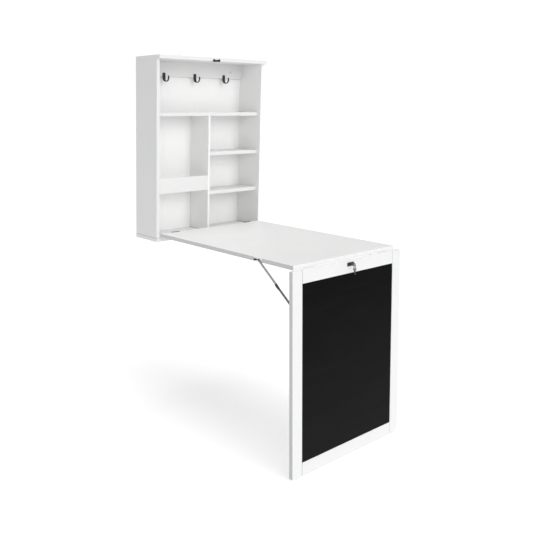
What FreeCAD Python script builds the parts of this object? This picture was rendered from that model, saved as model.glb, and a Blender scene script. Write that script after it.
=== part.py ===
import FreeCAD, Part
import math
import os

# A wall-hung fold-out desk. A shallow cabinet hangs on the wall. Its desktop swings
# up between the cabinet's sides, and the desktop's front leg is a framed chalkboard
# that folds flat under it and closes the cabinet as a door.
#
# While the parts are made: +X is to the right, +Y is towards the wall, +Z is up,
# y = 0 is the plane of the side panels' front edges, z = 0 is the cabinet's underside.
# The desk is made unfolded. The last lines carry every part to the finished frame,
# whose origin is the bottom centre of the whole desk's box, on the floor.

V = FreeCAD.Vector

# ---- driving dimensions, millimetres and degrees ----
CABINET_W = 600.0
CABINET_H = 755.0
SIDE_DEPTH = 145.0
BOARD = 15.0            # melamine-faced board
EASE = 0.6              # rounding along every board's edges
TOP_OVERHANG = 18.0     # the top board covers the closed leg's end
BACK_PANEL = 3.0
BACK_INSET = 3.0        # air left between the back panel and the wall
GROOVE = 5.0
INSIDE_SETBACK = 18.0   # shelves stand back to leave room for the closed desktop
RAIL_H = 62.0
RAIL_HOLE_X = 212.0
RAIL_HOLE_Z = 706.0
RAIL_HOLE_R = 3.0
MAIN_SHELF_Z = 513.0
DIVIDER_T = 10.0
DIVIDER_X = -3.0
UPPER_SHELF_Z = 343.0
LOWER_SHELF_Z = 173.5
STRIP_Z = 194.5
STRIP_H = 63.5
STRIP_T = 10.0

HOOK_X = (-170.0, 0.0, 170.0)
HOOK_TOP_Z = 693.0
HOOK_BOTTOM_Z = 655.0
HOOK_REACH = 34.0
HOOK_W = 12.0
HOOK_T = 2.5

FOLD_Y = -2.2           # desktop's hinge axis
FOLD_Z = 17.0
DESK_BOTTOM_Z = 19.0
DESK_BACK_Y = -1.9
DESK_END_Y = -723.0
SIDE_GAP = 4.2          # room beside the desktop for the folding stays

LEG_H = 716.0
LEG_SPLAY = 2.3         # the open leg stands out past square, against its stays
LEG_AXIS_Y = DESK_END_Y
LEG_AXIS_Z = 18.8
LEG_INNER_GAP = 0.2     # from the axis out to the leg's inner face
LEG_TOP_GAP = 0.3       # from the axis down to the leg's top end
STILE_W = 48.0
LEG_RAIL_H = 46.0
PANEL_TONGUE = 6.0
PANEL_BACK_W = 7.0      # depths in the leg are counted from its inner face
PANEL_SKIN_W = 11.5
PANEL_FRONT_W = 13.0
GLIDE_R = 7.0
GLIDE_T = 3.5

HINGE_X = 206.0
HINGE_LEN = 44.0
KNUCKLE_R = 1.8
PIN_R = 1.0
PIN_PLAY = 0.05
LEAF_T = 1.2
LEAF_REACH = 24.0
LIP_REACH = 9.0

STAY_T = 1.0            # stay bars, in three thin layers beside the desktop's edge
STAY_STEP = 1.25
STAY_W = 9.2
STAY_PIVOT_A = 158.0    # along the desktop, from the leg axis to the upper pivot
STAY_PIVOT_Z = 26.3
STAY_PIVOT_B = 118.0    # down the leg, from the leg axis to the lower pivot
STAY_PIVOT_C = 8.0      # the lower pivot stands off the leg's inner face
STAY_PIN_R = 2.0
STAY_PLATE_L = 38.0
STAY_PLATE_H = 13.4
STAY_PLATE_SHIFT = 4.5  # the plate reaches further past the pivot on the cabinet's side
STAY_STOP_L = 15.0
STAY_PLATE_T = 1.5

LOCK_S = 14.25          # lock centre, down from the leg's top end
LOCK_PLATE_W = 36.0
LOCK_PLATE_H = 13.5
LOCK_PLATE_T = 1.2
PLUG_R = 5.0
CAM_R = 3.9
CAM_PIN_R = 1.0
BOLT_W = 12.0
BOLT_T = 3.0
KEY_T = 2.0
BOW_R = 6.5
BOW_HOLE_R = 2.3
BOW_HOLE_X = 3.0
BLADE_L = 12.0
RING_R = 5.2
RING_WIRE_R = 0.8

# ---- worked out from them ----
HALF_W = CABINET_W / 2
INNER_X = HALF_W - BOARD
TOP_Z = CABINET_H - BOARD
BACK_Y = SIDE_DEPTH - BACK_INSET - BACK_PANEL
RAIL_Y = BACK_Y - BOARD
DESK_X = INNER_X - SIDE_GAP
DESK_TOP_Z = DESK_BOTTOM_Z + BOARD
DIVIDER_L = DIVIDER_X - DIVIDER_T / 2
DIVIDER_R = DIVIDER_X + DIVIDER_T / 2
LEG_INNER_Y = LEG_AXIS_Y - LEG_INNER_GAP
LEG_TOP_Z = LEG_AXIS_Z - LEG_TOP_GAP
LEG_AXIS = V(0, LEG_AXIS_Y, LEG_AXIS_Z)
RAIL_END_X = HALF_W - STILE_W
X_AXIS = V(1, 0, 0)
Y_AXIS = V(0, 1, 0)
Z_AXIS = V(0, 0, 1)

nodes = {}


# ---- shared shapes ----
def box(x, y, z):
    """A box from three (low, high) pairs."""
    shape = Part.makeBox(x[1] - x[0], y[1] - y[0], z[1] - z[0])
    shape.translate(V(x[0], y[0], z[0]))
    return shape


def board(x, y, z):
    """A board with its edges eased."""
    shape = box(x, y, z)
    return shape.makeFillet(EASE, shape.Edges)


def rod(start, direction, radius, length):
    return Part.makeCylinder(radius, length, start, direction)


def cut_all(shape, tools):
    for tool in tools:
        shape = shape.cut(tool)
    return shape


def fuse_all(shapes):
    shape = shapes[0]
    for other in shapes[1:]:
        shape = shape.fuse(other)
    return shape.removeSplitter()


def mirrored(shape):
    """The same shape on the other side of the desk's middle plane."""
    return shape.mirror(V(0, 0, 0), X_AXIS)


def splay(shape):
    """Turns a shape made on the square leg out to where the open leg stands."""
    turned = shape.copy()
    turned.rotate(LEG_AXIS, V(-1, 0, 0), LEG_SPLAY)
    return turned


def leg_y(depth):
    return LEG_INNER_Y - depth


def leg_z(down):
    return LEG_TOP_Z - down


def screw_blank(head, direction, head_r, head_h, shank_r, length):
    """A countersunk screw with no recess, which also cuts its own hole."""
    cone = Part.makeCone(head_r, shank_r, head_h, head, direction)
    return cone.fuse(rod(head, direction, shank_r, length)).removeSplitter()


def screw(head, direction, head_r, head_h, shank_r, length):
    """The same screw with a cross recess in its head."""
    blank = screw_blank(head, direction, head_r, head_h, shank_r, length)
    arm = head_r * 1.1
    slot = head_r * 0.28
    deep = head_h * 0.8
    bars = (
        Part.makeBox(arm, slot, deep, V(-arm / 2, -slot / 2, 0)),
        Part.makeBox(slot, arm, deep, V(-slot / 2, -arm / 2, 0)),
    )
    turn = FreeCAD.Rotation(Z_AXIS, direction)
    for bar in bars:
        bar.Placement = FreeCAD.Placement(head, turn)
        blank = blank.cut(bar)
    return blank


def screws(places, sizes):
    """The screws at the given (head, direction) places, and the blanks that cut their holes."""
    made = [screw(head, direction, *sizes) for head, direction in places]
    blanks = [screw_blank(head, direction, *sizes) for head, direction in places]
    return made, blanks


def dowels(places, radius, length):
    """Rods centred on the given (centre, direction) places."""
    return [rod(c - d * (length / 2), d, radius, length) for c, d in places]


def link(p, q, x, half_w):
    """A flat bar with round ends, in an x layer, from p to q given as (y, z)."""
    a = V(x[0], p[0], p[1])
    b = V(x[0], q[0], q[1])
    along = (b - a).normalize()
    side = along.cross(X_AXIS) * half_w
    edges = (
        Part.LineSegment(a + side, b + side),
        Part.Arc(b + side, b + along * half_w, b - side),
        Part.LineSegment(b - side, a - side),
        Part.Arc(a - side, a - along * half_w, a + side),
    )
    face = Part.Face(Part.Wire([edge.toShape() for edge in edges]))
    return face.extrude(V(x[1] - x[0], 0, 0))


# ---- butt hinges ----
SCREW_SMALL = (2.6, 1.2, 1.25, 11.0)
KNUCKLE_SPLIT = (0.0, 15.0, 29.0, HINGE_LEN)
KNUCKLE_PLAY = 0.3


def knuckle_spans(outer):
    """The (start, end) spans along a hinge of its outer pair of knuckles, or of its middle one."""
    a, b, c, d = KNUCKLE_SPLIT
    if outer:
        return ((a, b), (c, d))
    return ((b + KNUCKLE_PLAY, c - KNUCKLE_PLAY),)


def hinge_leaf(plate, axis_y, axis_z, centre_x, outer):
    """A plate with its knuckles, cleared for the other leaf's knuckles."""
    start = centre_x - HINGE_LEN / 2
    bore = PIN_R if outer else PIN_R + PIN_PLAY
    for a, b in knuckle_spans(not outer):
        room = rod(V(start + a - KNUCKLE_PLAY, axis_y, axis_z), X_AXIS,
                   KNUCKLE_R + KNUCKLE_PLAY, b - a + 2 * KNUCKLE_PLAY)
        plate = plate.cut(room)
    for a, b in knuckle_spans(outer):
        barrel = rod(V(start + a, axis_y, axis_z), X_AXIS, KNUCKLE_R, b - a)
        plate = plate.fuse(barrel)
    for a, b in knuckle_spans(outer):
        plate = plate.cut(rod(V(start + a - 1, axis_y, axis_z), X_AXIS, bore, b - a + 2))
    return plate.removeSplitter()


def hinge_pin(axis_y, axis_z, centre_x):
    return rod(V(centre_x - HINGE_LEN / 2, axis_y, axis_z), X_AXIS, PIN_R, HINGE_LEN)


def hinge_span(centre_x):
    return (centre_x - HINGE_LEN / 2, centre_x + HINGE_LEN / 2)


def plate_screw_places(centre_x, y, z, direction):
    offset = HINGE_LEN / 2 - 9
    return [(V(centre_x + side * offset, y, z), direction) for side in (-1, 1)]


# ---- cabinet ----
def strike():
    """The plate that takes the lock's bolt: two round lobes on the top board's front edge and a
    slotted flange turned in under the board."""
    front_y = -TOP_OVERHANG
    lobe_r = 6.0
    reach = 14.5
    middle_z = TOP_Z + 3.0
    lobes = [rod(V(s * reach, front_y, middle_z), V(0, -1, 0), lobe_r, 1.0) for s in (-1, 1)]
    waist = box((-reach, reach), (front_y - 1.0, front_y), (middle_z - 4.2, middle_z + 3.0))
    flange = box((-reach, reach), (front_y - 1.0, -3.0), (TOP_Z - 1.0, TOP_Z))
    slot = box((-BOLT_W / 2 - 1, BOLT_W / 2 + 1), bolt_slot_y(), (TOP_Z - 2, TOP_Z))
    places = [(V(s * reach, front_y - 1.0, middle_z), Y_AXIS) for s in (-1, 1)]
    made, blanks = screws(places, (2.4, 1.0, 1.2, 12.0))
    plate = cut_all(fuse_all(lobes + [waist, flange]), [slot] + blanks)
    return plate, made, blanks


def bolt_slot_y():
    """Where the closed leg's bolt stands, front to back, with room around it."""
    closed_inner_y = FOLD_Y + (LEG_AXIS_Z - LEG_INNER_GAP - FOLD_Z)
    middle = closed_inner_y - BOLT_MIDDLE_W
    return (middle - BOLT_T / 2 - 0.6, middle + BOLT_T / 2 + 0.6)


def hook(x):
    """A flat steel strip: up the rail, then down, out and up to a rounded tip."""
    y = RAIL_Y
    z = HOOK_BOTTOM_Z
    bend = (HOOK_REACH - HOOK_T) / 2
    low = z + bend + HOOK_T
    tip_z = low + 9.0
    out = y - HOOK_REACH
    edges = (
        Part.LineSegment(V(x, y, HOOK_TOP_Z), V(x, y, low)),
        Part.Arc(V(x, y, low), V(x, y - HOOK_REACH / 2, z), V(x, out, low)),
        Part.LineSegment(V(x, out, low), V(x, out, tip_z)),
        Part.LineSegment(V(x, out, tip_z), V(x, out + HOOK_T, tip_z)),
        Part.LineSegment(V(x, out + HOOK_T, tip_z), V(x, out + HOOK_T, low)),
        Part.Arc(V(x, out + HOOK_T, low), V(x, y - HOOK_REACH / 2, z + HOOK_T),
                 V(x, y - HOOK_T, low)),
        Part.LineSegment(V(x, y - HOOK_T, low), V(x, y - HOOK_T, HOOK_TOP_Z)),
        Part.LineSegment(V(x, y - HOOK_T, HOOK_TOP_Z), V(x, y, HOOK_TOP_Z)),
    )
    face = Part.Face(Part.Wire([edge.toShape() for edge in edges]))
    face.translate(V(-HOOK_W / 2, 0, 0))
    strip = face.extrude(V(HOOK_W, 0, 0))
    corners = [e for e in strip.Edges if end_corner(e, y, tip_z)]
    return strip.makeFillet(4.0, corners)


def end_corner(edge, y, tip_z):
    """True for the four short edges across the strip's thickness at its two ends."""
    if abs(edge.Length - HOOK_T) > 0.01:
        return False
    middle = edge.CenterOfMass
    return abs(middle.z - HOOK_TOP_Z) < 0.01 or abs(middle.z - tip_z) < 0.01


def make_cabinet():
    side_y = (0.0, SIDE_DEPTH)
    inner_x = (-INNER_X, INNER_X)
    top = board((-HALF_W, HALF_W), (-TOP_OVERHANG, SIDE_DEPTH), (TOP_Z, CABINET_H))
    bottom = board((-HALF_W, HALF_W), side_y, (0.0, BOARD))
    left = board((-HALF_W, -INNER_X), side_y, (BOARD, TOP_Z))
    right = mirrored(left)
    back = box((-INNER_X - GROOVE, INNER_X + GROOVE), (BACK_Y, BACK_Y + BACK_PANEL),
               (BOARD - GROOVE, TOP_Z + GROOVE))
    rail = board(inner_x, (RAIL_Y, BACK_Y), (TOP_Z - RAIL_H, TOP_Z))
    inside_y = (INSIDE_SETBACK, BACK_Y)
    shelf = board(inner_x, inside_y, (MAIN_SHELF_Z, MAIN_SHELF_Z + BOARD))
    divider = board((DIVIDER_L, DIVIDER_R), inside_y, (BOARD, MAIN_SHELF_Z))
    right_bay = (DIVIDER_R, INNER_X)
    upper = board(right_bay, inside_y, (UPPER_SHELF_Z, UPPER_SHELF_Z + BOARD))
    lower = board(right_bay, inside_y, (LOWER_SHELF_Z, LOWER_SHELF_Z + BOARD))
    strip = board((-INNER_X, DIVIDER_L), (INSIDE_SETBACK, INSIDE_SETBACK + STRIP_T),
                  (STRIP_Z, STRIP_Z + STRIP_H))

    holes = [rod(V(s * RAIL_HOLE_X, RAIL_Y - 1, RAIL_HOLE_Z), Y_AXIS, RAIL_HOLE_R, 25)
             for s in (-1, 1)]
    rail = cut_all(rail, holes)
    back = cut_all(back, holes)

    pegs = carcass_dowels()
    made, blanks = screws(carcass_screw_places(), (4.5, 3.0, 2.4, 48.0))
    nodes["carcass_dowels"] = pegs
    nodes["carcass_screws"] = made

    plate, strike_made, strike_blanks = strike()
    bolt_room = box((-BOLT_W / 2 - 1, BOLT_W / 2 + 1), bolt_slot_y(), (TOP_Z - 1, TOP_Z + 7))
    nodes["top_board"] = cut_all(top, pegs + strike_blanks + [back, bolt_room])
    nodes["bottom_board"] = cut_all(bottom, blanks + [back])
    nodes["left_side_panel"] = cut_all(left, pegs + blanks + [back])
    nodes["right_side_panel"] = cut_all(right, pegs + blanks + [back])
    nodes["back_panel"] = back
    nodes["hanging_rail"] = cut_all(rail, pegs)
    nodes["main_shelf"] = cut_all(shelf, pegs)
    nodes["centre_divider"] = cut_all(divider, pegs)
    nodes["upper_shelf"] = cut_all(upper, pegs)
    nodes["lower_shelf"] = cut_all(lower, pegs)
    nodes["guard_strip"] = cut_all(strip, pegs)
    nodes["strike_plate"] = plate
    nodes["strike_screws"] = strike_made
    make_hooks()
    make_cabinet_hinges()


def carcass_dowels():
    """Hidden wooden pegs: up into the top board and sideways into the shelves."""
    places = []
    for side in (-1, 1):
        for y in (30.0, 110.0):
            places.append((V(side * (HALF_W - BOARD / 2), y, TOP_Z), Z_AXIS))
            places.append((V(side * INNER_X, y, MAIN_SHELF_Z + BOARD / 2), X_AXIS))
        places.append((V(side * INNER_X, RAIL_Y + BOARD / 2, TOP_Z - RAIL_H / 2), X_AXIS))
    for y in (40.0, 110.0):
        for z in (UPPER_SHELF_Z, LOWER_SHELF_Z):
            places.append((V(INNER_X, y, z + BOARD / 2), X_AXIS))
    for z in (STRIP_Z + 16, STRIP_Z + STRIP_H - 16):
        places.append((V(-INNER_X, INSIDE_SETBACK + STRIP_T / 2, z), X_AXIS))
    return dowels(places, 2.9, 16.0)


def carcass_screw_places():
    """Assembly screws driven up through the bottom board into the side panels."""
    x = HALF_W - BOARD / 2
    return [(V(side * x, y, 0), Z_AXIS) for side in (-1, 1) for y in (30.0, 115.0)]


def make_hooks():
    places = []
    for x in HOOK_X:
        places += [(V(x, RAIL_Y - HOOK_T, z), Y_AXIS) for z in (HOOK_TOP_Z - 6, HOOK_TOP_Z - 16)]
    made, blanks = screws(places, (2.2, 1.4, 1.3, 13.0))
    for name, x in zip(("left_hook", "centre_hook", "right_hook"), HOOK_X):
        nodes[name] = cut_all(hook(x), blanks)
    nodes["hanging_rail"] = cut_all(nodes["hanging_rail"], blanks)
    nodes["hook_screws"] = made


def make_cabinet_hinges():
    leaves = []
    pins = []
    places = []
    for side in (-1, 1):
        x = side * HINGE_X
        plate = box(hinge_span(x), (FOLD_Y, LEAF_REACH), (BOARD, BOARD + LEAF_T))
        leaves.append(hinge_leaf(plate, FOLD_Y, FOLD_Z, x, outer=True))
        pins.append(hinge_pin(FOLD_Y, FOLD_Z, x))
        places += plate_screw_places(x, LEAF_REACH - 9, BOARD + LEAF_T, V(0, 0, -1))
    made, blanks = screws(places, SCREW_SMALL)
    nodes["cabinet_hinge_leaves"] = [cut_all(leaf, blanks) for leaf in leaves]
    nodes["cabinet_hinge_pins"] = pins
    nodes["cabinet_hinge_screws"] = made
    nodes["bottom_board"] = cut_all(nodes["bottom_board"], blanks)


# ---- desktop ----
def make_desktop():
    panel = board((-DESK_X, DESK_X), (DESK_END_Y, DESK_BACK_Y), (DESK_BOTTOM_Z, DESK_TOP_Z))
    back_leaves = []
    leg_leaves = []
    leg_pins = []
    back_places = []
    leg_places = []
    for side in (-1, 1):
        x = side * HINGE_X
        span = hinge_span(x)
        upright = box(span, (DESK_BACK_Y - LEAF_T, DESK_BACK_Y), (FOLD_Z, DESK_TOP_Z + 1.0))
        lip = box(span, (DESK_BACK_Y - LIP_REACH, DESK_BACK_Y), (DESK_TOP_Z, DESK_TOP_Z + 1.0))
        back_leaves.append(hinge_leaf(upright.fuse(lip), FOLD_Y, FOLD_Z, x, outer=False))
        panel = panel.cut(upright)
        back_places += plate_screw_places(x, DESK_BACK_Y, DESK_TOP_Z - BOARD / 2, V(0, -1, 0))

        under = box(span, (LEG_AXIS_Y, LEG_AXIS_Y + LEAF_REACH),
                    (DESK_BOTTOM_Z, DESK_BOTTOM_Z + LEAF_T))
        leg_leaves.append(hinge_leaf(under, LEG_AXIS_Y, LEG_AXIS_Z, x, outer=True))
        leg_pins.append(hinge_pin(LEG_AXIS_Y, LEG_AXIS_Z, x))
        notch = rod(V(span[0] - 0.5, LEG_AXIS_Y, LEG_AXIS_Z), X_AXIS, KNUCKLE_R + 0.4,
                    HINGE_LEN + 1)
        panel = cut_all(panel, (under, notch))
        leg_places += plate_screw_places(x, LEG_AXIS_Y + LEAF_REACH - 9, DESK_BOTTOM_Z, Z_AXIS)
    back_made, back_blanks = screws(back_places, SCREW_SMALL)
    leg_made, leg_blanks = screws(leg_places, SCREW_SMALL)

    plates, studs, plate_made, plate_blanks, plate_rooms = stay_plates()
    nodes["desk_panel"] = cut_all(panel, back_blanks + leg_blanks + plate_blanks + plate_rooms)
    nodes["desk_hinge_leaves"] = [cut_all(leaf, back_blanks) for leaf in back_leaves]
    nodes["desk_hinge_screws"] = back_made
    nodes["leg_hinge_top_leaves"] = [cut_all(leaf, leg_blanks) for leaf in leg_leaves]
    nodes["leg_hinge_pins"] = leg_pins
    nodes["leg_hinge_top_screws"] = leg_made
    nodes["stay_plates"] = plates
    nodes["stay_studs"] = studs
    nodes["stay_plate_screws"] = plate_made


def stay_plates():
    """A plate let into each edge of the desktop, with a headed stud for the upper stay bar."""
    y = STAY_P[0]
    z = STAY_P[1]
    middle_y = y + STAY_PLATE_SHIFT
    low_y = middle_y - STAY_PLATE_L / 2
    high_y = middle_y + STAY_PLATE_L / 2
    room = box((-DESK_X - 1, -DESK_X + STAY_PLATE_T), (low_y, high_y),
               (z - STAY_PLATE_H / 2, z + STAY_PLATE_H / 2))
    plate = box((-DESK_X, -DESK_X + STAY_PLATE_T), (low_y, high_y),
                (z - STAY_PLATE_H / 2, z + STAY_PLATE_H / 2))
    shank = rod(V(-DESK_X + STAY_PLATE_T, y, z), V(-1, 0, 0), STAY_PIN_R,
                STAY_PLATE_T + layer(0)[1] - layer(0)[0] + 0.6)
    head_x = layer(0)[0] - 0.1
    head = rod(V(head_x, y, z), V(-1, 0, 0), STAY_PIN_R * 2, 0.9)
    stud = shank.fuse(head).removeSplitter()
    places = [(V(-DESK_X, middle_y + s * (STAY_PLATE_L / 2 - 4), z), X_AXIS) for s in (-1, 1)]
    made, blanks = screws(places, (2.4, 1.3, 1.25, 14.0))
    plate = cut_all(plate, blanks + [shank])
    nodes["stay_stops"] = stay_stops(high_y - 0.5)
    both = [plate, mirrored(plate)]
    studs = [stud, mirrored(stud)]
    all_made = made + [mirrored(s) for s in made]
    all_blanks = blanks + [mirrored(s) for s in blanks]
    return both, studs, all_made, all_blanks, [room, mirrored(room)]


def stay_stops(end_y):
    """A thin black wedge on the plate's free end, for the swinging bar to stop against."""
    x = -DESK_X
    start_y = end_y - STAY_STOP_L
    low = DESK_BOTTOM_Z + 0.8
    corners = ((end_y, low), (end_y, low + 9.0), (start_y, low + 9.0), (start_y, low + 4.0))
    wire = Part.makePolygon([V(x, y, z) for y, z in corners + corners[:1]])
    wedge = Part.Face(wire).extrude(V(-1.0, 0, 0))
    return [wedge, mirrored(wedge)]


# ---- folding stays ----
def layer(n):
    """The (low, high) x of the nth thin layer outside the desktop's left edge."""
    high = -DESK_X - 0.3 - n * STAY_STEP
    return (high - STAY_T, high)


def stay_points(angle):
    """The upper and lower pivots as (y, z), with the leg at this angle in from square."""
    turn = math.radians(angle)
    down = (math.sin(turn), -math.cos(turn))
    inward = (math.cos(turn), math.sin(turn))
    upper = (LEG_AXIS_Y + STAY_PIVOT_A, STAY_PIVOT_Z)
    lower = (LEG_AXIS_Y + down[0] * STAY_PIVOT_B + inward[0] * STAY_PIVOT_C,
             LEG_AXIS_Z + down[1] * STAY_PIVOT_B + inward[1] * STAY_PIVOT_C)
    return upper, lower


def distance(p, q):
    return math.hypot(q[0] - p[0], q[1] - p[1])


# The bars are straight when the leg is open and lie over each other when it is folded.
STAY_P, STAY_Q = stay_points(-LEG_SPLAY)
OPEN_GAP = distance(STAY_P, STAY_Q)
FOLDED_GAP = distance(*stay_points(90.0))
UPPER_L = (OPEN_GAP + FOLDED_GAP) / 2
LOWER_L = (OPEN_GAP - FOLDED_GAP) / 2
STAY_K = tuple(p + (q - p) * UPPER_L / OPEN_GAP for p, q in zip(STAY_P, STAY_Q))


def make_stays():
    """Each stay is an upper and a lower bar with a black cap over the knee between them."""
    hole = STAY_PIN_R + PIN_PLAY
    upper = link(STAY_P, STAY_K, layer(0), STAY_W / 2)
    upper = upper.cut(rod(V(-INNER_X, *STAY_P), X_AXIS, hole, 10))
    lower = link(STAY_K, STAY_Q, layer(1), STAY_W / 2)
    lower = lower.cut(rod(V(-INNER_X, *STAY_Q), X_AXIS, hole, 10))
    reach = 7.0 / LOWER_L
    along = ((STAY_Q[0] - STAY_K[0]) * reach, (STAY_Q[1] - STAY_K[1]) * reach)
    cap_x = (layer(1)[0] - 0.9, layer(1)[0])
    cap = link((STAY_K[0] - along[0], STAY_K[1] - along[1]),
               (STAY_K[0] + along[0], STAY_K[1] + along[1]), cap_x, STAY_W / 2 + 0.6)
    for name, shape in (("upper_stay_bar", upper), ("lower_stay_bar", lower), ("knee_cap", cap)):
        nodes["left_" + name] = shape
        nodes["right_" + name] = mirrored(shape)


def stay_ear():
    """The bracket on the leg that carries the lower bar: a plate let into the stile's inner
    face, an upright ear and the pivot pin. Made on the square leg."""
    s = STAY_PIVOT_B - LEG_TOP_GAP
    x = layer(2)
    half = STAY_W / 2
    base = box((x[0], x[0] + 24.0), (leg_y(1.5), leg_y(0)), (leg_z(s + half), leg_z(s - half)))
    pivot = (leg_y(0) + LEG_INNER_GAP + STAY_PIVOT_C, leg_z(s))
    upright = link((leg_y(1.5) + half, pivot[1]), pivot, x, half)
    foot = box(x, (leg_y(1.5), leg_y(0) + 2.0), (leg_z(s + half), leg_z(s - half)))
    upright = upright.fuse(foot)
    pin = rod(V(x[1] - 0.2, *pivot), X_AXIS, STAY_PIN_R, layer(1)[1] - x[1] + 0.2)
    ear = fuse_all([base, upright, pin])
    places = [(V(x[0] + across, leg_y(0), leg_z(s)), V(0, -1, 0)) for across in (9.0, 18.0)]
    made, blanks = screws(places, (2.4, 1.3, 1.25, 11.0))
    return cut_all(ear, blanks), base, made, blanks


# ---- leg ----
BOLT_MIDDLE_W = 6.0     # the bolt's middle, in from the leg's inner face
CASE_X = 11.0
CASE_TOP_S = 1.0
CASE_BOTTOM_S = 27.0
CASE_W = (3.5, 13.0)


def leg_board(x, s, w):
    return board(x, (leg_y(w[1]), leg_y(w[0])), (leg_z(s[1]), leg_z(s[0])))


def leg_box(x, s, w):
    return box(x, (leg_y(w[1]), leg_y(w[0])), (leg_z(s[1]), leg_z(s[0])))


def make_leg():
    full_s = (0.0, LEG_H)
    full_w = (0.0, BOARD)
    left = leg_board((-HALF_W, -RAIL_END_X), full_s, full_w)
    right = mirrored(left)
    rail_x = (-RAIL_END_X, RAIL_END_X)
    top = leg_board(rail_x, (0.0, LEG_RAIL_H), full_w)
    bottom = leg_board(rail_x, (LEG_H - LEG_RAIL_H, LEG_H), full_w)
    panel_x = (-RAIL_END_X - PANEL_TONGUE, RAIL_END_X + PANEL_TONGUE)
    panel_s = (LEG_RAIL_H - PANEL_TONGUE, LEG_H - LEG_RAIL_H + PANEL_TONGUE)
    backing = leg_box(panel_x, panel_s, (PANEL_BACK_W, PANEL_SKIN_W))
    slate = leg_box(panel_x, panel_s, (PANEL_SKIN_W, PANEL_FRONT_W))
    groove = leg_box(panel_x, panel_s, (PANEL_BACK_W, PANEL_FRONT_W))

    pegs = []
    for side in (-1, 1):
        for s in (10.0, 30.0, LEG_H - 34.0, LEG_H - 12.0):
            pegs.append((V(side * RAIL_END_X, leg_y(BOARD / 2), leg_z(s)), X_AXIS))
    pegs = dowels(pegs, 2.4, 28.0)

    leaves, leaf_made, leaf_blanks, leaf_rooms = leg_hinge_leaves()
    ear, ear_room, ear_made, ear_blanks = stay_ear()
    ear_made += [mirrored(s) for s in ear_made]
    ear_blanks += [mirrored(s) for s in ear_blanks]
    lock = make_lock()

    stile_tools = [groove] + pegs + ear_blanks + [ear_room, mirrored(ear_room)]
    stile_tools += leaf_rooms + leaf_blanks
    rail_tools = [groove] + pegs + leaf_rooms + leaf_blanks
    placed = {
        "left_stile": cut_all(left, stile_tools),
        "right_stile": cut_all(right, stile_tools),
        "top_rail": cut_all(top, rail_tools + lock["rooms"]),
        "bottom_rail": cut_all(bottom, rail_tools),
        "backing_panel": backing,
        "chalkboard": slate,
        "leg_dowels": pegs,
        "leg_hinge_bottom_leaves": leaves,
        "leg_hinge_bottom_screws": leaf_made,
        "stay_ears": [ear, mirrored(ear)],
        "stay_ear_screws": ear_made,
    }
    placed.update(lock["nodes"])
    for name, shape in placed.items():
        if isinstance(shape, list):
            nodes[name] = [splay(solid) for solid in shape]
        else:
            nodes[name] = splay(shape)
    nodes["foot_glides"] = foot_glides()


def leg_hinge_leaves():
    leaves = []
    places = []
    rooms = []
    for side in (-1, 1):
        x = side * HINGE_X
        span = hinge_span(x)
        plate = box(span, (leg_y(LEAF_T), leg_y(0)), (LEG_AXIS_Z - LEAF_REACH, LEG_AXIS_Z))
        leaves.append(hinge_leaf(plate, LEG_AXIS_Y, LEG_AXIS_Z, x, outer=False))
        rooms.append(plate)
        rooms.append(rod(V(span[0] - 0.5, LEG_AXIS_Y, LEG_AXIS_Z), X_AXIS, KNUCKLE_R + 0.4,
                         HINGE_LEN + 1))
        places += plate_screw_places(x, leg_y(0), LEG_AXIS_Z - LEAF_REACH + 9, V(0, -1, 0))
    made, blanks = screws(places, SCREW_SMALL)
    return [cut_all(leaf, blanks) for leaf in leaves], made, blanks, rooms


def foot_glides():
    """A nail-on glide under each stile, worn level with the floor."""
    glides = []
    x = HALF_W - STILE_W / 2
    for side in (-1, 1):
        start = V(side * x, leg_y(BOARD / 2), leg_z(LEG_H))
        glides.append(splay(rod(start, V(0, 0, -1), GLIDE_R, GLIDE_T + 1)))
    centre = splay(Part.Vertex(V(x, leg_y(BOARD / 2), leg_z(LEG_H + GLIDE_T)))).Point
    below = box((-CABINET_W, CABINET_W), (centre.y - 50, centre.y + 50),
                (centre.z - 50, centre.z))
    return [glide.cut(below) for glide in glides]


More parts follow.
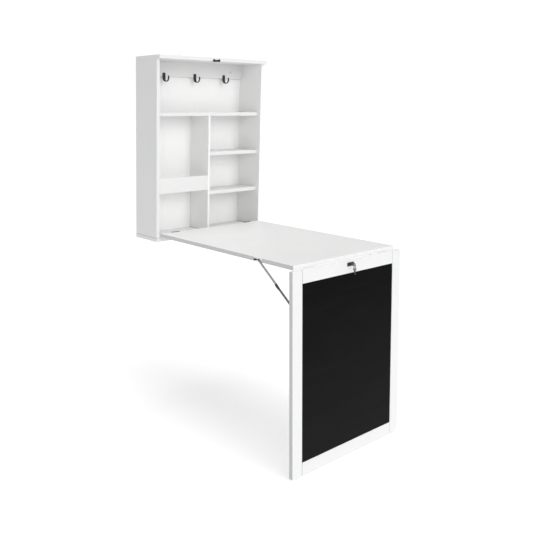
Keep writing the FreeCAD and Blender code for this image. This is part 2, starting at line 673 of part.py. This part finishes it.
# ---- lock and keys ----
def make_lock():
    """A cylinder lock in the leg's top rail. Its cam pin lifts a flat bolt out of the rail's end.
    Made on the square leg."""
    centre_z = leg_z(LOCK_S)
    case_s = (CASE_TOP_S, CASE_BOTTOM_S)
    case = leg_box((-CASE_X, CASE_X), case_s, CASE_W)
    bolt_w = (BOLT_MIDDLE_W - BOLT_T / 2, BOLT_MIDDLE_W + BOLT_T / 2)
    channel = leg_box((-BOLT_W / 2 - 0.3, BOLT_W / 2 + 0.3), (-1.0, CASE_BOTTOM_S - 1.5),
                      (bolt_w[0] - 0.3, bolt_w[1] + 0.3))
    plug_w = bolt_w[1] + 0.8
    bore = rod(V(0, leg_y(plug_w - 0.5), centre_z), V(0, -1, 0), PLUG_R + PIN_PLAY, 12)
    case = cut_all(case, (channel, bore))

    plate = leg_box((-LOCK_PLATE_W / 2, LOCK_PLATE_W / 2),
                    (LOCK_S - LOCK_PLATE_H / 2, LOCK_S + LOCK_PLATE_H / 2),
                    (BOARD, BOARD + LOCK_PLATE_T))
    upright = [e for e in plate.Edges if abs(e.Length - LOCK_PLATE_T) < 0.01]
    plate = plate.makeFillet(2.5, upright)
    collar = rod(V(0, leg_y(BOARD + LOCK_PLATE_T), centre_z), V(0, -1, 0), 6.2, 1.2)
    face_hole = rod(V(0, leg_y(BOARD - 3), centre_z), V(0, -1, 0), PLUG_R + PIN_PLAY, 8)
    offset = LOCK_PLATE_W / 2 - 4.5
    places = [(V(s * offset, leg_y(BOARD + LOCK_PLATE_T), centre_z), Y_AXIS) for s in (-1, 1)]
    made, blanks = screws(places, (2.4, 1.2, 1.2, 6.0))
    plate = cut_all(plate.fuse(collar), [face_hole] + blanks)

    plug_end = BOARD + LOCK_PLATE_T + 1.8
    plug = rod(V(0, leg_y(plug_w), centre_z), V(0, -1, 0), PLUG_R, plug_end - plug_w)
    slot = leg_box((-KEY_T / 2 - 0.1, KEY_T / 2 + 0.1), (LOCK_S - 3.1, LOCK_S + 3.1),
                   (plug_end - 6.1, plug_end + 1))
    cam_x = CAM_R * math.cos(math.radians(45))
    cam_z = centre_z - CAM_R * math.sin(math.radians(45))
    cam = rod(V(cam_x, leg_y(bolt_w[0] + 0.4), cam_z), V(0, -1, 0), CAM_PIN_R,
              plug_w - bolt_w[0] + 0.4)
    plug = plug.cut(slot).fuse(cam).removeSplitter()

    bolt = leg_box((-BOLT_W / 2, BOLT_W / 2), (0.3, LOCK_S + 9.0), bolt_w)
    cam_s = LOCK_S + CAM_R * math.sin(math.radians(45))
    cam_slot = leg_box((0.8, BOLT_W / 2 + 1), (cam_s - 1.4, cam_s + 1.4), (0, BOARD))
    bolt = bolt.cut(cam_slot)

    key = make_key(plug_end)
    ring, spare = make_ring_and_spare(plug_end)
    rooms = [case, channel, face_hole, bore] + blanks
    made_nodes = {
        "lock_case": case,
        "lock_plate": plate,
        "lock_plate_screws": made,
        "lock_plug": plug,
        "lock_bolt": bolt,
        "key": key,
        "key_ring": ring,
        "spare_key": spare,
    }
    full_case = leg_box((-CASE_X, CASE_X), case_s, CASE_W)
    return {"nodes": made_nodes, "rooms": rooms + [full_case]}


def key_blank(blade_l):
    """A flat key lying along +X from its bow's centre, with notches along the blade."""
    bow = rod(V(0, 0, -KEY_T / 2), Z_AXIS, BOW_R, KEY_T)
    neck = box((0, BOW_R + 3.0), (-3.6, 3.6), (-KEY_T / 2, KEY_T / 2))
    blade = box((BOW_R, BOW_R + blade_l), (-3.0, 3.0), (-KEY_T / 2, KEY_T / 2))
    shape = fuse_all([bow, neck, blade])
    for n in range(3):
        at = BOW_R + blade_l - 3.0 - n * 2.6
        notch = rod(V(at, -3.6 + 0.25 * n, -KEY_T), Z_AXIS, 1.2, 2 * KEY_T)
        shape = shape.cut(notch)
    hole = rod(V(-BOW_HOLE_X, 0, -KEY_T), Z_AXIS, BOW_HOLE_R, 2 * KEY_T)
    return shape.cut(hole)


def make_key(plug_end):
    """The key in the lock, its bow standing out and its flat sides upright."""
    key = key_blank(BLADE_L)
    key.rotate(V(0, 0, 0), Y_AXIS, 90)
    key.rotate(V(0, 0, 0), X_AXIS, 90)
    key.translate(V(0, leg_y(bow_centre_w(plug_end)), leg_z(LOCK_S)))
    return key


def bow_centre_w(plug_end):
    """How far the bow's centre stands out when the blade's last 6 mm are in the plug."""
    return plug_end - 6.0 + BLADE_L + BOW_R


def make_ring_and_spare(plug_end):
    """A split ring through the key's bow with the spare key hanging from it."""
    out_w = bow_centre_w(plug_end) + BOW_HOLE_X
    rest = BOW_HOLE_R - RING_WIRE_R - 0.3
    top_s = LOCK_S + rest
    ring = Part.makeTorus(RING_R, RING_WIRE_R)
    ring.rotate(V(0, 0, 0), X_AXIS, 90)
    ring.translate(V(0, leg_y(out_w), leg_z(top_s + RING_R)))
    spare = key_blank(BLADE_L)
    spare.rotate(V(0, 0, 0), Y_AXIS, 90)
    hole_s = top_s + 2 * RING_R + rest
    spare.translate(V(0, leg_y(out_w), leg_z(hole_s + BOW_HOLE_X)))
    return ring, spare


# ---- build, carry to the finished frame and write ----
def solids_of(made):
    """A node's solids: one part gives its own, and a list gives one for each piece."""
    if isinstance(made, list):
        return [solid for piece in made for solid in piece.Solids]
    return made.Solids


make_cabinet()
make_desktop()
make_stays()
make_leg()

everything = Part.makeCompound([s for made in nodes.values() for s in solids_of(made)])
whole = everything.optimalBoundingBox(False, False)
to_frame = V(-whole.Center.x, -whole.Center.y, -whole.ZMin)
os.makedirs("parts", exist_ok=True)
for name, made in nodes.items():
    solids = solids_of(made)
    shape = solids[0] if len(solids) == 1 else Part.makeCompound(solids)
    shape.translate(to_frame)
    shape.exportStep("parts/" + name + ".step")
    print(name, len(solids), "solids", round(shape.Volume / 1000.0, 2), "cm3",
          "valid" if shape.isValid() else "NOT VALID")
print("frame shift", [round(v, 4) for v in to_frame])
print("box", round(whole.XLength, 2), round(whole.YLength, 2), round(whole.ZLength, 2))
print("stay pivots", [[round(c, 3) for c in p] for p in (STAY_P, STAY_K, STAY_Q)])
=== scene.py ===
import bmesh
import bpy
import math
from mathutils import Matrix, Vector


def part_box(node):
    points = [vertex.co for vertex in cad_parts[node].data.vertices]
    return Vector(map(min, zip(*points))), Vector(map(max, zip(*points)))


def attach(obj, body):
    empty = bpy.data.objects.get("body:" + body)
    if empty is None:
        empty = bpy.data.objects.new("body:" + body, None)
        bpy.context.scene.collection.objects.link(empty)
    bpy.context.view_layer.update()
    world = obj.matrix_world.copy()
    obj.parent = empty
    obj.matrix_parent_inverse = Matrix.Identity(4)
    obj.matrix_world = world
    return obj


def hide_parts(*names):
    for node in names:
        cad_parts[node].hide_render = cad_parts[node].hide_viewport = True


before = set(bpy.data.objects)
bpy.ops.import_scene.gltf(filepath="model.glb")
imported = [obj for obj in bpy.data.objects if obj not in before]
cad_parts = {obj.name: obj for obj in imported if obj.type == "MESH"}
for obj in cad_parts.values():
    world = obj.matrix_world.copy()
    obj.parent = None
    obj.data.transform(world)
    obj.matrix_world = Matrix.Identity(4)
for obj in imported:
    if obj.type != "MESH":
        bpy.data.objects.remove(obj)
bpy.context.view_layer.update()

# ---- Carcass boards ----
# Chipboard panels faced on both sides with white melamine and edged with white banding,
# dowelled and screwed into the box that hangs on the wall. The closed-in corners are left dry.
MM = 0.001
MELAMINE_WHITE = "e0e0df"
MELAMINE_SHADE = "dddede"
# The inner white and its drift tone below are lighter than the board white, as painted bounce
# light.
INNER_BOUNCE_LIT_WHITE = "f0f0ef"
INNER_BOUNCE_LIT_SHADE = "ececec"
JOINT_GREY = "8d8e90"
JOINT_OUTER = 1.6 * MM
JOINT_INNER = 1.4 * MM


def hex_to_linear(code):
    """Turns an sRGB hex colour into linear red, green, blue and alpha."""
    channels = [int(code[i:i + 2], 16) / 255 for i in (0, 2, 4)]
    linear = [c / 12.92 if c <= 0.04045 else ((c + 0.055) / 1.055) ** 2.4 for c in channels]
    return (*linear, 1.0)


def add_node(tree, kind, settings=None, links=None):
    """Adds a node, gives it its settings and input values, and plugs in its links."""
    node = tree.nodes.new(kind)
    for name, value in (settings or {}).items():
        if hasattr(node, name):
            setattr(node, name, value)
        else:
            node.inputs[name].default_value = value
    for name, source in (links or {}).items():
        tree.links.new(source, node.inputs[name])
    return node


def new_finish(name, **surface):
    """A material with its shader's own values set, its node tree, shader and coordinates."""
    material = bpy.data.materials.new(name)
    material.use_nodes = True
    tree = material.node_tree
    shader = tree.nodes["Principled BSDF"]
    for socket, value in surface.items():
        shader.inputs[socket.replace("_", " ")].default_value = value
    place = add_node(tree, "ShaderNodeTexCoord").outputs["Object"]
    return material, tree, shader, place


def dress(tree, shader, tones, stops, spread, skin, polish, relief=None):
    """Colours the shader between two tones as spread passes its stops, and lets skin set its
    polish, from one roughness to another, and its relief, as strength and millimetres."""
    ramp = add_node(tree, "ShaderNodeValToRGB", None, {"Fac": spread})
    for mark, stop, tone in zip(ramp.color_ramp.elements, stops, tones):
        mark.position = stop
        mark.color = hex_to_linear(tone)
    tree.links.new(ramp.outputs["Color"], shader.inputs["Base Color"])
    rough = add_node(tree, "ShaderNodeMapRange", {"To Min": polish[0], "To Max": polish[1]},
                     {"Value": skin})
    tree.links.new(rough.outputs["Result"], shader.inputs["Roughness"])
    if relief:
        bump = add_node(tree, "ShaderNodeBump",
                        {"Strength": relief[0], "Distance": relief[1] * MM}, {"Height": skin})
        tree.links.new(bump.outputs["Normal"], shader.inputs["Normal"])


def paint(material, *names):
    """Puts a material on every slot of the named pieces."""
    for name in names:
        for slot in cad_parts[name].material_slots:
            slot.material = material


def mask_in(tree, shader, value, start, full, code):
    """Lays a colour over the shader's own where the size of value goes from start to full."""
    under = shader.inputs["Base Color"].links[0].from_socket
    size = add_node(tree, "ShaderNodeMath", {"operation": "ABSOLUTE"}, {"Value": value})
    mask = add_node(tree, "ShaderNodeMapRange", {"From Min": start, "From Max": full},
                    {"Value": size.outputs[0]})
    both = add_node(tree, "ShaderNodeMix", {"data_type": "RGBA"},
                    {"Factor": mask.outputs["Result"]})
    tree.links.new(under, both.inputs[6])
    both.inputs[7].default_value = hex_to_linear(code)
    tree.links.new(both.outputs[2], shader.inputs["Base Color"])


def melamine(name, light, shade, edge_shade=None, butt=None):
    """White melamine paper pressed with a fine pearl texture. The pearl is about 0.4 mm, drawn
    at 1.2 mm so that it shows, and the white drifts a little over a hand's width. The greyer
    colour given for the side edges is painted shade, laid on the faces that point along X;
    butt is the axis and place at which a board's end meets another and shows a grey hairline
    1.6 mm wide."""
    material, tree, shader, place = new_finish(name, IOR=1.5)
    drift = add_node(tree, "ShaderNodeTexNoise", {"Scale": 1 / (130 * MM), "Detail": 3.0},
                     {"Vector": place}).outputs["Fac"]
    pearl = add_node(tree, "ShaderNodeTexNoise", {"Scale": 1 / (1.2 * MM), "Detail": 2.0},
                     {"Vector": place}).outputs["Fac"]
    dress(tree, shader, (shade, light), (0.32, 0.68), drift, pearl, (0.36, 0.48), (0.12, 0.05))
    # Painted shade: faces that point along X, the side edges, take the greyer colour.
    if edge_shade:
        facing = add_node(tree, "ShaderNodeTexCoord").outputs["Normal"]
        sideways = add_node(tree, "ShaderNodeSeparateXYZ", None, {"Vector": facing})
        mask_in(tree, shader, sideways.outputs["X"], 0.85, 0.95, edge_shade)
    if butt:
        axis, start, full = butt
        along = add_node(tree, "ShaderNodeSeparateXYZ", None, {"Vector": place})
        mask_in(tree, shader, along.outputs[axis], start, full, JOINT_GREY)
    return material


board_white = melamine("melamine_faced_board_white", MELAMINE_WHITE, MELAMINE_SHADE)
paint(board_white, "top_board", "bottom_board")
side_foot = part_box("left_side_panel")[0][2]
side_butt = ("Z", side_foot + JOINT_OUTER, side_foot + JOINT_INNER)
side_white = melamine("melamine_faced_side_white", MELAMINE_WHITE, MELAMINE_SHADE,
                      butt=side_butt)
paint(side_white, "left_side_panel")
paint(board_white, "hanging_rail", "main_shelf", "upper_shelf", "lower_shelf", "guard_strip")
# The right side and the divider face away from the light. Their white is painted a shade
# lighter, as painted light for the light that a real studio bounces into the shelves.
bounce_lit_white = melamine("melamine_faced_bounce_lit_white", INNER_BOUNCE_LIT_WHITE, INNER_BOUNCE_LIT_SHADE,
                       butt=side_butt)
paint(bounce_lit_white, "right_side_panel", "centre_divider")


# ---- Back panel ----
# A 3 mm hardboard sheet faced with white paper foil, slid into grooves in the carcass.
# Thin foil shows faint vertical fibre under it and is a little duller than the boards.
FOIL_LIGHT = "f3f3f2"
FOIL_SHADE = "f0f0f0"


def paper_foil(name):
    """Paper foil over hardboard: fibre 8 mm wide and 150 mm long, running up the sheet."""
    material, tree, shader, place = new_finish(name, IOR=1.47)
    upright = add_node(tree, "ShaderNodeMapping", {"Scale": (1.0, 1.0, 0.05)}, {"Vector": place})
    fibre = add_node(tree, "ShaderNodeTexNoise", {"Scale": 1 / (8 * MM), "Detail": 4.0},
                     {"Vector": upright.outputs["Vector"]}).outputs["Fac"]
    dress(tree, shader, (FOIL_SHADE, FOIL_LIGHT), (0.25, 0.75), fibre, fibre, (0.5, 0.62),
          (0.02, 0.02))
    return material


paint(paper_foil("paper_foiled_hardboard_white"), "back_panel", "backing_panel")


# ---- Dowels and assembly screws ----
# Fluted beech pegs glued in the board joints, out of sight, and zinc-plated screws driven up
# through the bottom board. The pegs show bare straight grain, the screws a pale blue-grey plate.
BEECH_LIGHT = "cfa981"
BEECH_DARK = "b88d62"
ZINC_BRIGHT = "a9adb0"
ZINC_DULL = "8f9396"


def bare_beech(name):
    """Straight beech grain, lines about 1.5 mm apart, along the peg."""
    material, tree, shader, place = new_finish(name, IOR=1.5)
    along = add_node(tree, "ShaderNodeMapping", {"Scale": (0.1, 1.0, 0.1)}, {"Vector": place})
    grain = add_node(tree, "ShaderNodeTexNoise", {"Scale": 1 / (1.5 * MM), "Detail": 3.0},
                     {"Vector": along.outputs["Vector"]}).outputs["Fac"]
    dress(tree, shader, (BEECH_DARK, BEECH_LIGHT), (0.0, 1.0), grain, grain, (0.6, 0.75))
    return material


def plated_metal(name, bright, worn, polish, grain_mm, depth):
    """A plated metal part: two close tones and a polish that breaks up over grain_mm."""
    material, tree, shader, place = new_finish(name, Metallic=1.0)
    skin = add_node(tree, "ShaderNodeTexNoise", {"Scale": 1 / (grain_mm * MM), "Detail": 4.0},
                    {"Vector": place}).outputs["Fac"]
    dress(tree, shader, (worn, bright), (0.3, 0.7), skin, skin, polish, (depth, 0.05))
    return material


paint(bare_beech("bare_beech_peg"), "carcass_dowels", "leg_dowels")
zinc = plated_metal("zinc_plated_steel", ZINC_BRIGHT, ZINC_DULL, (0.3, 0.45), 2.0, 0.1)
paint(zinc, "carcass_screws", "lock_case", "lock_bolt")


# ---- Hooks ----
# Three coat hooks bent from steel strip, each held to the hanging rail by two screws and
# powder coated black. The bend is a half circle and the tip is turned up and rounded.
HOOK_THICK = 2.3 * MM
HOOK_STEM_W = 15 * MM
HOOK_ARM_W = 7 * MM
HOOK_EDGE = 0.6 * MM
STEM_SHARES = (0.06, 0.06, 0.18, 0.7)
TIP_RISES = (3.0 * MM, 3.5 * MM, 1.7 * MM)
TIP_START = 7.5 * MM
TIP_SHARE = 0.55
WELD = 0.002 * MM
POWDER_BLACK = "161617"
POWDER_EDGE = "2b2b2c"


def powder_coat(name):
    """Black powder coat: a fine orange peel about 1 mm across, slightly thin and grey on it."""
    material, tree, shader, place = new_finish(name, IOR=1.5)
    peel = add_node(tree, "ShaderNodeTexNoise", {"Scale": 1 / (1.0 * MM), "Detail": 2.0},
                    {"Vector": place}).outputs["Fac"]
    dress(tree, shader, (POWDER_BLACK, POWDER_EDGE), (0.3, 0.8), peel, peel, (0.38, 0.52),
          (0.25, 0.08))
    return material


def hook_piece(name, bm, material):
    """Turns a hook's bmesh into a piece that rides on the cabinet and stands for its node."""
    bmesh.ops.remove_doubles(bm, verts=bm.verts, dist=WELD)
    bmesh.ops.recalc_face_normals(bm, faces=bm.faces)
    mesh = bpy.data.meshes.new(name + "_bent")
    bm.to_mesh(mesh)
    bm.free()
    piece = bpy.data.objects.new(name + "_bent", mesh)
    bpy.context.collection.objects.link(piece)
    mesh.materials.append(material)
    for face in mesh.polygons:
        face.use_smooth = True
    rounding = piece.modifiers.new("rounding", "BEVEL")
    rounding.width = HOOK_EDGE
    rounding.segments = 3
    rounding.limit_method = "ANGLE"
    rounding.angle_limit = math.radians(35)
    rounding.harden_normals = True
    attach(piece, "cabinet")
    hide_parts(name)


def push(bm, face, step):
    """Extrudes one face by a step and returns the new end face."""
    made = bmesh.ops.extrude_face_region(bm, geom=[face])["geom"]
    moved = [g for g in made if isinstance(g, bmesh.types.BMVert)]
    bmesh.ops.translate(bm, verts=moved, vec=step)
    bmesh.ops.delete(bm, geom=[face], context="FACES_ONLY")
    return [g for g in made if isinstance(g, bmesh.types.BMFace)][0]


def hook_strip(low, high):
    """One hook between its CAD corners: stem, half-circle bend and turned-up tip."""
    x = (low.x + high.x) / 2
    wall = high.y
    bend = (wall - low.y - HOOK_THICK) / 2
    middle = Vector((x, wall - HOOK_THICK / 2 - bend, low.z + HOOK_THICK / 2 + bend))
    bm = bmesh.new()
    bmesh.ops.create_grid(bm, x_segments=1, y_segments=1, size=0.5)
    bmesh.ops.scale(bm, verts=bm.verts, vec=(HOOK_STEM_W, HOOK_THICK, 1.0))
    bmesh.ops.translate(bm, verts=bm.verts, vec=(x, wall - HOOK_THICK / 2, high.z))
    end = bm.faces[:][0]
    for share in STEM_SHARES:
        end = push(bm, end, Vector((0, 0, -(high.z - middle.z) * share)))
        end.normal_update()
    turned = bmesh.ops.spin(bm, geom=[end], cent=middle, axis=(1, 0, 0), steps=14,
                            angle=-math.pi)
    bmesh.ops.delete(bm, geom=[end], context="FACES_ONLY")
    end = [g for g in turned["geom_last"] if isinstance(g, bmesh.types.BMFace)][0]
    for rise in TIP_RISES:
        end = push(bm, end, Vector((0, 0, rise)))
    bmesh.ops.holes_fill(bm, edges=[e for e in bm.edges if e.is_boundary], sides=4)
    for v in bm.verts:
        out = min(1.0, max(0.0, (wall - HOOK_THICK - v.co.y) / bend))
        wide = 1.0 + (HOOK_ARM_W / HOOK_STEM_W - 1.0) * out
        tip = TIP_SHARE if v.co.y < middle.y and v.co.z > middle.z + TIP_START else 1.0
        below = high.z - v.co.z
        crown = 0.6 if below < 0.5 * MM else 0.9 if below < 3 * MM else 1.0
        v.co.x = x + (v.co.x - x) * wide * tip * crown
    return bm


powder = powder_coat("powder_coated_steel_black")
for hook_name in ("left_hook", "centre_hook", "right_hook"):
    low, high = (Vector(c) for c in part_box(hook_name))
    hook_piece(hook_name, hook_strip(low, high), powder)
paint(powder, "hook_screws")


# ---- Strike plate ----
# A pressed black steel angle screwed to the top board's front edge. Its flange turns in under
# the board and has the slot that takes the bolt.
paint(powder, "strike_plate", "strike_screws")


# ---- Desk hinges and leg hinges ----
# Two butt hinges join desktop to cabinet and two join leg to desktop: steel leaves let in
# flush, rolled knuckles and a plain pin. The cabinet's are dark nickel plated, the leg's are
# lacquered white so that they don't show in the joint.
LACQUER_WHITE = "e6e6e5"
LACQUER_SHADE = "d9dada"
hinge_plate = plated_metal("dark_nickel_plated_steel", "6f6e6b", "565553", (0.3, 0.45), 1.5,
                           0.15)
paint(hinge_plate, "cabinet_hinge_leaves", "cabinet_hinge_pins", "cabinet_hinge_screws")
paint(hinge_plate, "desk_hinge_leaves", "desk_hinge_screws")


def white_lacquer(name):
    """Stoved white lacquer on steel, glossier than the boards, with a faint 2 mm flow ripple."""
    material, tree, shader, place = new_finish(name, IOR=1.5)
    flow = add_node(tree, "ShaderNodeTexNoise", {"Scale": 1 / (2.0 * MM), "Detail": 2.0},
                    {"Vector": place}).outputs["Fac"]
    dress(tree, shader, (LACQUER_SHADE, LACQUER_WHITE), (0.0, 1.0), flow, flow, (0.25, 0.34))
    return material


lacquer = white_lacquer("lacquered_hinge_steel_white")
paint(lacquer, "leg_hinge_top_leaves", "leg_hinge_pins", "leg_hinge_top_screws")
paint(lacquer, "leg_hinge_bottom_leaves", "leg_hinge_bottom_screws")


# ---- Desktop ----
# One melamine-faced board hung between the cabinet's sides. Its face is the working surface.
# Its side edges are drawn greyer than its face, as painted shade.
SIDE_EDGE_PAINTED_SHADE = "c6c7c8"
# The desktop's white is drawn lighter than the carcass boards' white, as painted light for the
# light falling on its face.
DESK_LIT_WHITE = "e8e8e7"
DESK_LIT_SHADE = "e5e5e5"
desk_lit_white = melamine("melamine_faced_desktop_lit_white", DESK_LIT_WHITE, DESK_LIT_SHADE,
                      edge_shade=SIDE_EDGE_PAINTED_SHADE)
paint(desk_lit_white, "desk_panel")


# ---- Folding stays ----
# Each side has an upper and a lower bar of steel strip, riveted to a plate in the desktop's
# edge and to an ear on the leg, with a black cap over the knee. The upper bar is a paler nickel
# than the lower, and the plate is the brightest metal on the desk.
stay_steel = plated_metal("dark_nickel_stay_steel", "7a7976", "4e4d4b", (0.22, 0.4), 3.0, 0.1)
upper_steel = plated_metal("nickel_plated_stay_steel", "a6a6a5", "818180", (0.22, 0.4), 3.0,
                           0.1)
for side in ("left_", "right_"):
    paint(upper_steel, side + "upper_stay_bar")
    paint(stay_steel, side + "lower_stay_bar")
    paint(powder, side + "knee_cap")
plate_nickel = plated_metal("bright_nickel_plated_steel", "e8e7e4", "d2d1cd", (0.12, 0.25),
                            4.0, 0.05)
paint(plate_nickel, "stay_plates", "stay_plate_screws")
paint(stay_steel, "stay_studs", "stay_ears", "stay_ear_screws")


# ---- Stay stops ----
# A moulded black nylon wedge on each stay plate, where the folding bar comes to rest.
# Moulded plastic is duller than the powder coat beside it.


def moulded_plastic(name, light, dark, polish):
    """Injection moulded plastic with a spark-eroded grain about 0.8 mm across."""
    material, tree, shader, place = new_finish(name, IOR=1.53)
    grain = add_node(tree, "ShaderNodeTexNoise", {"Scale": 1 / (0.8 * MM), "Detail": 2.0},
                     {"Vector": place}).outputs["Fac"]
    dress(tree, shader, (dark, light), (0.0, 1.0), grain, grain, polish, (0.2, 0.05))
    return material


paint(moulded_plastic("moulded_nylon_black", "1d1d1e", "121213", (0.5, 0.62)), "stay_stops")


# ---- Leg frame ----
# Two stiles and two rails of the same white board, dowelled at the corners and grooved for the
# chalkboard. Closed, it is the cabinet's door.
# The stiles' side edges are drawn greyer than their faces, as painted shade.
stile_white = melamine("melamine_faced_stile_white", MELAMINE_WHITE, MELAMINE_SHADE,
                       edge_shade=SIDE_EDGE_PAINTED_SHADE)
paint(stile_white, "left_stile", "right_stile")
rail_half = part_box("top_rail")[1][0]
rail_white = melamine("melamine_faced_rail_white", MELAMINE_WHITE, MELAMINE_SHADE,
                      butt=("X", rail_half - JOINT_OUTER, rail_half - JOINT_INNER))
paint(rail_white, "top_rail", "bottom_rail")
paint(moulded_plastic("moulded_polythene_white", "e4e4e0", "d8d8d3", (0.45, 0.6)),
      "foot_glides")


# ---- Chalkboard ----
# A thin board sprayed with matt black chalkboard paint. Wiping leaves a faint grey film that
# runs side to side and gathers low down.
BOARD_BLACK = "0c0c0c"
BOARD_FILM = "1f1f20"
MARKS_SHARE = 0.38


def chalkboard_paint(name, low_z, high_z):
    """Matt black with tooth 0.3 mm, drawn at 1 mm, and wipe marks 25 mm high and 300 mm long."""
    material, tree, shader, place = new_finish(name, IOR=1.45, Specular_IOR_Level=0.05)
    wiped = add_node(tree, "ShaderNodeMapping", {"Scale": (0.085, 1.0, 1.0)}, {"Vector": place})
    marks = add_node(tree, "ShaderNodeTexNoise",
                     {"Scale": 1 / (25 * MM), "Detail": 5.0, "Roughness": 0.6},
                     {"Vector": wiped.outputs["Vector"]})
    height = add_node(tree, "ShaderNodeSeparateXYZ", None, {"Vector": place}).outputs["Z"]
    lower = add_node(tree, "ShaderNodeMapRange",
                     {"From Min": high_z, "From Max": low_z, "To Max": 1 - MARKS_SHARE},
                     {"Value": height})
    film = add_node(tree, "ShaderNodeMath", {"operation": "MULTIPLY_ADD"})
    tree.links.new(marks.outputs["Fac"], film.inputs[0])
    film.inputs[1].default_value = MARKS_SHARE
    tree.links.new(lower.outputs["Result"], film.inputs[2])
    tooth = add_node(tree, "ShaderNodeTexNoise", {"Scale": 1 / (1.0 * MM), "Detail": 3.0},
                     {"Vector": place}).outputs["Fac"]
    dress(tree, shader, (BOARD_BLACK, BOARD_FILM), (0.12, 0.95), film.outputs[0], tooth,
          (0.78, 0.92), (0.3, 0.06))
    return material


board_low, board_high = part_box("chalkboard")
paint(chalkboard_paint("chalkboard_paint_matt_black", board_low[2], board_high[2]), "chalkboard")


# ---- Lock ----
# A cylinder cam lock: cast case let into the rail, black plate and collar on the face, plug
# in nickelled brass, and a steel bolt that rises out of the leg's end.
paint(powder, "lock_plate", "lock_plate_screws")
plug_nickel = plated_metal("nickel_plated_brass", "8d8c88", "6f6e6b", (0.2, 0.35), 1.5, 0.1)
paint(plug_nickel, "lock_plug")


# ---- Keys and ring ----
# Two flat keys stamped from brass strip and nickel plated, one in the plug and the spare on a
# sprung wire ring through both bows.
key_nickel = plated_metal("nickel_plated_key_brass", "a2a2a0", "6c6c6a", (0.18, 0.35), 2.0, 0.1)
paint(key_nickel, "key", "spare_key", "key_ring")


# ---- Floor ----
# A plain pale studio floor, not part of the desk. It glows a little, so that it stays as
# white as the surround behind it.
FLOOR_WHITE = "c8c8c8"
FLOOR_SHADE = "c4c4c4"
FLOOR_RADIUS = 40.0
FLOOR_GLOW = 0.52
floor_bm = bmesh.new()
bmesh.ops.create_circle(floor_bm, cap_ends=True, segments=96, radius=FLOOR_RADIUS)
bmesh.ops.translate(floor_bm, verts=floor_bm.verts, vec=(0, 0, -1 * MM))
floor_mesh = bpy.data.meshes.new("studio_floor")
floor_bm.to_mesh(floor_mesh)
floor_bm.free()
studio_floor = bpy.data.objects.new("studio_floor", floor_mesh)
bpy.context.collection.objects.link(studio_floor)
floor_finish, floor_tree, floor_shader, floor_place = new_finish(
    "matt_floor_white", Roughness=0.95, Specular_IOR_Level=0.1,
    Emission_Color=(1.0, 1.0, 1.0, 1.0), Emission_Strength=FLOOR_GLOW)
patches = add_node(floor_tree, "ShaderNodeTexNoise", {"Scale": 0.8}, {"Vector": floor_place})
floor_ramp = add_node(floor_tree, "ShaderNodeValToRGB", None, {"Fac": patches.outputs["Fac"]})
floor_ramp.color_ramp.elements[0].color = hex_to_linear(FLOOR_SHADE)
floor_ramp.color_ramp.elements[1].color = hex_to_linear(FLOOR_WHITE)
floor_tree.links.new(floor_ramp.outputs["Color"], floor_shader.inputs["Base Color"])
floor_mesh.materials.append(floor_finish)


# ---- Light ----
# An even white surround, one very broad soft light low in front that reaches into the shelves,
# one overhead, and a faint one from the left that keeps the divider's left face from going dark.
# The surround lights the desk by AROUND and is itself seen at BEHIND.
AROUND = 0.385
BEHIND = 1.05
FRONT_LIGHT = 1.06
LEFT_LIGHT = 0.36
TOP_LIGHT = 1.74


def broad_light(name, heading, spread, power):
    """A far light that shines along heading and is spread degrees across."""
    lamp = bpy.data.lights.new(name, "SUN")
    lamp.angle = math.radians(spread)
    lamp.energy = power
    light = bpy.data.objects.new(name, lamp)
    bpy.context.collection.objects.link(light)
    light.rotation_euler = Vector(heading).to_track_quat("-Z", "Y").to_euler()


world = bpy.data.worlds.new("white_surround")
bpy.context.scene.world = world
world.use_nodes = True
world_tree = world.node_tree
seen = add_node(world_tree, "ShaderNodeLightPath").outputs["Is Camera Ray"]
strength = add_node(world_tree, "ShaderNodeMapRange", {"To Min": AROUND, "To Max": BEHIND},
                    {"Value": seen})
surround = world_tree.nodes["Background"]
surround.inputs["Color"].default_value = (1.0, 1.0, 1.0, 1.0)
world_tree.links.new(strength.outputs["Result"], surround.inputs["Strength"])
broad_light("front_light", (-0.04, 0.9, -0.38), 38, FRONT_LIGHT)
broad_light("left_light", (0.55, 0.8, -0.18), 40, LEFT_LIGHT)
broad_light("top_light", (-0.1, 0.15, -1.0), 50, TOP_LIGHT)
bpy.context.scene.view_settings.view_transform = "Standard"


# ---- Camera ----
# Standing to the desk's left and in front of it, a little above the cabinet's middle.
# Turn, tilt and lean are its heading from straight ahead, its downward look and its roll.
LENS = 45.79
SHIFT_ACROSS, SHIFT_UP = 0.188, -0.1098
SPOT = (-1.9402, -1.8783, 1.2491)
TURN, TILT, LEAN = 37.668, -8.454, 0.206
camera_data = bpy.data.cameras.new("camera")
camera_data.sensor_width = 36.0
camera_data.lens = LENS
camera_data.shift_x = SHIFT_ACROSS
camera_data.shift_y = SHIFT_UP
camera = bpy.data.objects.new("camera", camera_data)
bpy.context.collection.objects.link(camera)
camera.location = SPOT
yaw, pitch, roll = (math.radians(a) for a in (TURN, TILT, LEAN))
ahead = Vector((math.sin(yaw) * math.cos(pitch), math.cos(yaw) * math.cos(pitch),
                math.sin(pitch)))
level = Vector((math.cos(yaw), -math.sin(yaw), 0.0))
upward = level.cross(ahead)
across = math.cos(roll) * level + math.sin(roll) * upward
risen = math.cos(roll) * upward - math.sin(roll) * level
camera.rotation_euler = Matrix((across, risen, -ahead)).transposed().to_euler()
bpy.context.scene.camera = camera
